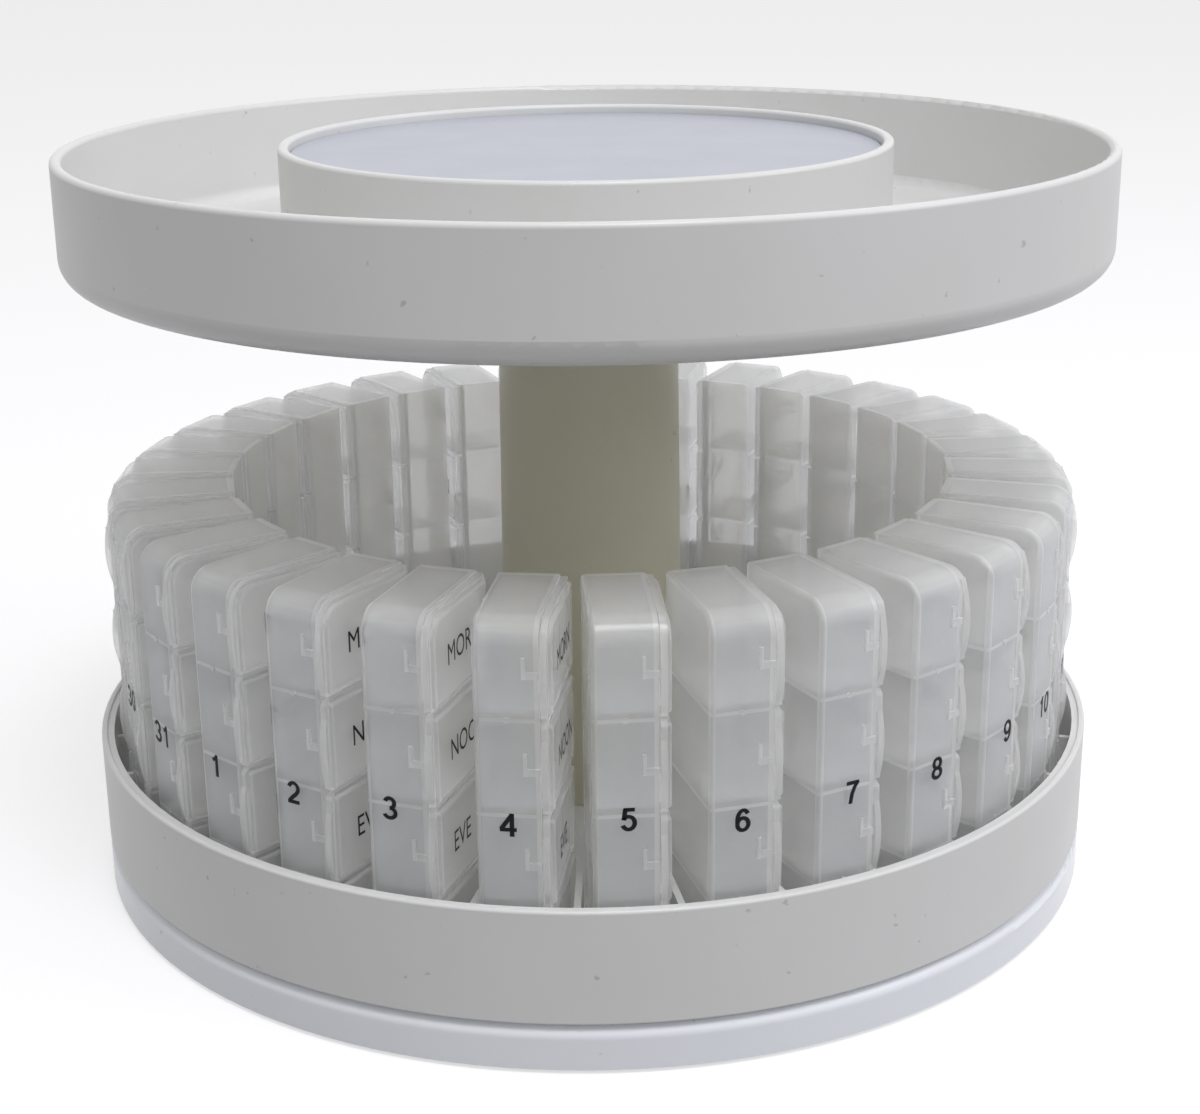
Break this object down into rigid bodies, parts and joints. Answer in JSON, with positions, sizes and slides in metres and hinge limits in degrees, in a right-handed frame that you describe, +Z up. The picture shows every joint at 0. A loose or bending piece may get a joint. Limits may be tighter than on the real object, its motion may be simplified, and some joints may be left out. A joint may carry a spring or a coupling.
{
  "type": "rotating pill organizer",
  "caption": "Two-tier round carousel on a turntable base, with a ring of upright frosted pill boxes around a column and an open tray on top.",
  "frame": {"origin": "centre of the six feet's bottom faces, on the surface that the organizer stands on", "axes": "+Z up along the spin axis; -Y towards the day 5 box, at the front; +X to the viewer's right, towards the higher days"},
  "size_m": [0.28, 0.28, 0.2],
  "materials": {
    "tray_plastic": "satin moulded",
    "column_plastic": "satin moulded",
    "base_plastic": "gloss moulded",
    "cover_plastic": "satin sheet",
    "frosted_polypropylene": "frosted translucent",
    "foot_rubber": "matt",
    "cage_plastic": "natural",
    "ball_steel": "polished",
    "screw_steel": "zinc plated",
    "print_ink": "pad printed"
  },
  "bodies": {
    "base": {"base_plate": "base_plastic", "rubber_feet": "foot_rubber", "pivot_washer": "screw_steel", "pivot_screw": "screw_steel"},
    "bearing": {"bearing_cage": "cage_plastic", "bearing_balls": "ball_steel"},
    "carousel": {"lower_tray": "tray_plastic", "column": "column_plastic", "column_screws": "screw_steel", "upper_tray": "tray_plastic", "tray_screws": "screw_steel", "centre_cover": "cover_plastic"},
    "box_01": {"day_box_01": "frosted_polypropylene"},
    "box_02": {"day_box_02": "frosted_polypropylene"},
    "box_03": {"day_box_03": "frosted_polypropylene"},
    "box_04": {"day_box_04": "frosted_polypropylene"},
    "box_05": {"day_box_05": "frosted_polypropylene"},
    "box_06": {"day_box_06": "frosted_polypropylene"},
    "box_07": {"day_box_07": "frosted_polypropylene"},
    "box_08": {"day_box_08": "frosted_polypropylene"},
    "box_09": {"day_box_09": "frosted_polypropylene"},
    "box_10": {"day_box_10": "frosted_polypropylene"},
    "box_11": {"day_box_11": "frosted_polypropylene"},
    "box_12": {"day_box_12": "frosted_polypropylene"},
    "box_13": {"day_box_13": "frosted_polypropylene"},
    "box_14": {"day_box_14": "frosted_polypropylene"},
    "box_15": {"day_box_15": "frosted_polypropylene"},
    "box_16": {"day_box_16": "frosted_polypropylene"},
    "box_17": {"day_box_17": "frosted_polypropylene"},
    "box_18": {"day_box_18": "frosted_polypropylene"},
    "box_19": {"day_box_19": "frosted_polypropylene"},
    "box_20": {"day_box_20": "frosted_polypropylene"},
    "box_21": {"day_box_21": "frosted_polypropylene"},
    "box_22": {"day_box_22": "frosted_polypropylene"},
    "box_23": {"day_box_23": "frosted_polypropylene"},
    "box_24": {"day_box_24": "frosted_polypropylene"},
    "box_25": {"day_box_25": "frosted_polypropylene"},
    "box_26": {"day_box_26": "frosted_polypropylene"},
    "box_27": {"day_box_27": "frosted_polypropylene"},
    "box_28": {"day_box_28": "frosted_polypropylene"},
    "box_29": {"day_box_29": "frosted_polypropylene"},
    "box_30": {"day_box_30": "frosted_polypropylene"},
    "box_31": {"day_box_31": "frosted_polypropylene"},
    "morn_lid_03": {"morn_lid_03": "frosted_polypropylene"},
    "noon_lid_03": {"noon_lid_03": "frosted_polypropylene"},
    "eve_lid_03": {"eve_lid_03": "frosted_polypropylene"},
    "bed_lid_03": {"bed_lid_03": "frosted_polypropylene"},
    "morn_lid_04": {"morn_lid_04": "frosted_polypropylene"},
    "noon_lid_04": {"noon_lid_04": "frosted_polypropylene"},
    "eve_lid_04": {"eve_lid_04": "frosted_polypropylene"},
    "bed_lid_04": {"bed_lid_04": "frosted_polypropylene"},
    "morn_lid_05": {"morn_lid_05": "frosted_polypropylene"},
    "noon_lid_05": {"noon_lid_05": "frosted_polypropylene"},
    "eve_lid_05": {"eve_lid_05": "frosted_polypropylene"},
    "bed_lid_05": {"bed_lid_05": "frosted_polypropylene"},
    "morn_lid_06": {"morn_lid_06": "frosted_polypropylene"},
    "noon_lid_06": {"noon_lid_06": "frosted_polypropylene"},
    "eve_lid_06": {"eve_lid_06": "frosted_polypropylene"},
    "bed_lid_06": {"bed_lid_06": "frosted_polypropylene"}
  },
  "joints": [
    {"name": "carousel_spin", "type": "hinge", "parent": "base", "child": "carousel", "pos_m": [0, 0, 0.009], "axis": [0, 0, 1], "continuous": true},
    {"name": "bearing_roll", "type": "hinge", "parent": "base", "child": "bearing", "pos_m": [0, 0, 0.009], "axis": [0, 0, 1], "continuous": true},
    {"name": "box_lift_01", "type": "slide", "parent": "carousel", "child": "box_01", "axis": [0, 0, 1], "range_m": [0, 0.04]},
    {"name": "box_lift_02", "type": "slide", "parent": "carousel", "child": "box_02", "axis": [0, 0, 1], "range_m": [0, 0.04]},
    {"name": "box_lift_03", "type": "slide", "parent": "carousel", "child": "box_03", "axis": [0, 0, 1], "range_m": [0, 0.04]},
    {"name": "box_lift_04", "type": "slide", "parent": "carousel", "child": "box_04", "axis": [0, 0, 1], "range_m": [0, 0.04]},
    {"name": "box_lift_05", "type": "slide", "parent": "carousel", "child": "box_05", "axis": [0, 0, 1], "range_m": [0, 0.04]},
    {"name": "box_lift_06", "type": "slide", "parent": "carousel", "child": "box_06", "axis": [0, 0, 1], "range_m": [0, 0.04]},
    {"name": "box_lift_07", "type": "slide", "parent": "carousel", "child": "box_07", "axis": [0, 0, 1], "range_m": [0, 0.04]},
    {"name": "box_lift_08", "type": "slide", "parent": "carousel", "child": "box_08", "axis": [0, 0, 1], "range_m": [0, 0.04]},
    {"name": "box_lift_09", "type": "slide", "parent": "carousel", "child": "box_09", "axis": [0, 0, 1], "range_m": [0, 0.04]},
    {"name": "box_lift_10", "type": "slide", "parent": "carousel", "child": "box_10", "axis": [0, 0, 1], "range_m": [0, 0.04]},
    {"name": "box_lift_11", "type": "slide", "parent": "carousel", "child": "box_11", "axis": [0, 0, 1], "range_m": [0, 0.04]},
    {"name": "box_lift_12", "type": "slide", "parent": "carousel", "child": "box_12", "axis": [0, 0, 1], "range_m": [0, 0.04]},
    {"name": "box_lift_13", "type": "slide", "parent": "carousel", "child": "box_13", "axis": [0, 0, 1], "range_m": [0, 0.04]},
    {"name": "box_lift_14", "type": "slide", "parent": "carousel", "child": "box_14", "axis": [0, 0, 1], "range_m": [0, 0.04]},
    {"name": "box_lift_15", "type": "slide", "parent": "carousel", "child": "box_15", "axis": [0, 0, 1], "range_m": [0, 0.04]},
    {"name": "box_lift_16", "type": "slide", "parent": "carousel", "child": "box_16", "axis": [0, 0, 1], "range_m": [0, 0.04]},
    {"name": "box_lift_17", "type": "slide", "parent": "carousel", "child": "box_17", "axis": [0, 0, 1], "range_m": [0, 0.04]},
    {"name": "box_lift_18", "type": "slide", "parent": "carousel", "child": "box_18", "axis": [0, 0, 1], "range_m": [0, 0.04]},
    {"name": "box_lift_19", "type": "slide", "parent": "carousel", "child": "box_19", "axis": [0, 0, 1], "range_m": [0, 0.04]},
    {"name": "box_lift_20", "type": "slide", "parent": "carousel", "child": "box_20", "axis": [0, 0, 1], "range_m": [0, 0.04]},
    {"name": "box_lift_21", "type": "slide", "parent": "carousel", "child": "box_21", "axis": [0, 0, 1], "range_m": [0, 0.04]},
    {"name": "box_lift_22", "type": "slide", "parent": "carousel", "child": "box_22", "axis": [0, 0, 1], "range_m": [0, 0.04]},
    {"name": "box_lift_23", "type": "slide", "parent": "carousel", "child": "box_23", "axis": [0, 0, 1], "range_m": [0, 0.04]},
    {"name": "box_lift_24", "type": "slide", "parent": "carousel", "child": "box_24", "axis": [0, 0, 1], "range_m": [0, 0.04]},
    {"name": "box_lift_25", "type": "slide", "parent": "carousel", "child": "box_25", "axis": [0, 0, 1], "range_m": [0, 0.04]},
    {"name": "box_lift_26", "type": "slide", "parent": "carousel", "child": "box_26", "axis": [0, 0, 1], "range_m": [0, 0.04]},
    {"name": "box_lift_27", "type": "slide", "parent": "carousel", "child": "box_27", "axis": [0, 0, 1], "range_m": [0, 0.04]},
    {"name": "box_lift_28", "type": "slide", "parent": "carousel", "child": "box_28", "axis": [0, 0, 1], "range_m": [0, 0.04]},
    {"name": "box_lift_29", "type": "slide", "parent": "carousel", "child": "box_29", "axis": [0, 0, 1], "range_m": [0, 0.04]},
    {"name": "box_lift_30", "type": "slide", "parent": "carousel", "child": "box_30", "axis": [0, 0, 1], "range_m": [0, 0.04]},
    {"name": "box_lift_31", "type": "slide", "parent": "carousel", "child": "box_31", "axis": [0, 0, 1], "range_m": [0, 0.04]},
    {"name": "morn_lid_swing_03", "type": "hinge", "parent": "box_03", "child": "morn_lid_03", "pos_m": [-0.03435, -0.09451, 0.0985], "axis": [0, 0, 1], "range_deg": [0, 14]},
    {"name": "noon_lid_swing_03", "type": "hinge", "parent": "box_03", "child": "noon_lid_03", "pos_m": [-0.03435, -0.09451, 0.0749], "axis": [0, 0, 1], "range_deg": [0, 14]},
    {"name": "eve_lid_swing_03", "type": "hinge", "parent": "box_03", "child": "eve_lid_03", "pos_m": [-0.03435, -0.09451, 0.0513], "axis": [0, 0, 1], "range_deg": [0, 14]},
    {"name": "bed_lid_swing_03", "type": "hinge", "parent": "box_03", "child": "bed_lid_03", "pos_m": [-0.03435, -0.09451, 0.0277], "axis": [0, 0, 1], "range_deg": [0, 4]},
    {"name": "morn_lid_swing_04", "type": "hinge", "parent": "box_04", "child": "morn_lid_04", "pos_m": [-0.01463, -0.09949, 0.0985], "axis": [0, 0, 1], "range_deg": [0, 14]},
    {"name": "noon_lid_swing_04", "type": "hinge", "parent": "box_04", "child": "noon_lid_04", "pos_m": [-0.01463, -0.09949, 0.0749], "axis": [0, 0, 1], "range_deg": [0, 14]},
    {"name": "eve_lid_swing_04", "type": "hinge", "parent": "box_04", "child": "eve_lid_04", "pos_m": [-0.01463, -0.09949, 0.0513], "axis": [0, 0, 1], "range_deg": [0, 14]},
    {"name": "bed_lid_swing_04", "type": "hinge", "parent": "box_04", "child": "bed_lid_04", "pos_m": [-0.01463, -0.09949, 0.0277], "axis": [0, 0, 1], "range_deg": [0, 4]},
    {"name": "morn_lid_swing_05", "type": "hinge", "parent": "box_05", "child": "morn_lid_05", "pos_m": [0.0057, -0.1004, 0.0985], "axis": [0, 0, 1], "range_deg": [0, 14]},
    {"name": "noon_lid_swing_05", "type": "hinge", "parent": "box_05", "child": "noon_lid_05", "pos_m": [0.0057, -0.1004, 0.0749], "axis": [0, 0, 1], "range_deg": [0, 14]},
    {"name": "eve_lid_swing_05", "type": "hinge", "parent": "box_05", "child": "eve_lid_05", "pos_m": [0.0057, -0.1004, 0.0513], "axis": [0, 0, 1], "range_deg": [0, 14]},
    {"name": "bed_lid_swing_05", "type": "hinge", "parent": "box_05", "child": "bed_lid_05", "pos_m": [0.0057, -0.1004, 0.0277], "axis": [0, 0, 1], "range_deg": [0, 4]},
    {"name": "morn_lid_swing_06", "type": "hinge", "parent": "box_06", "child": "morn_lid_06", "pos_m": [0.02579, -0.0972, 0.0985], "axis": [0, 0, 1], "range_deg": [0, 14]},
    {"name": "noon_lid_swing_06", "type": "hinge", "parent": "box_06", "child": "noon_lid_06", "pos_m": [0.02579, -0.0972, 0.0749], "axis": [0, 0, 1], "range_deg": [0, 14]},
    {"name": "eve_lid_swing_06", "type": "hinge", "parent": "box_06", "child": "eve_lid_06", "pos_m": [0.02579, -0.0972, 0.0513], "axis": [0, 0, 1], "range_deg": [0, 14]},
    {"name": "bed_lid_swing_06", "type": "hinge", "parent": "box_06", "child": "bed_lid_06", "pos_m": [0.02579, -0.0972, 0.0277], "axis": [0, 0, 1], "range_deg": [0, 4]}
  ],
  "couplings": [
    {"joint": "bearing_roll", "follows": "carousel_spin", "ratio": 0.5}
  ]
}
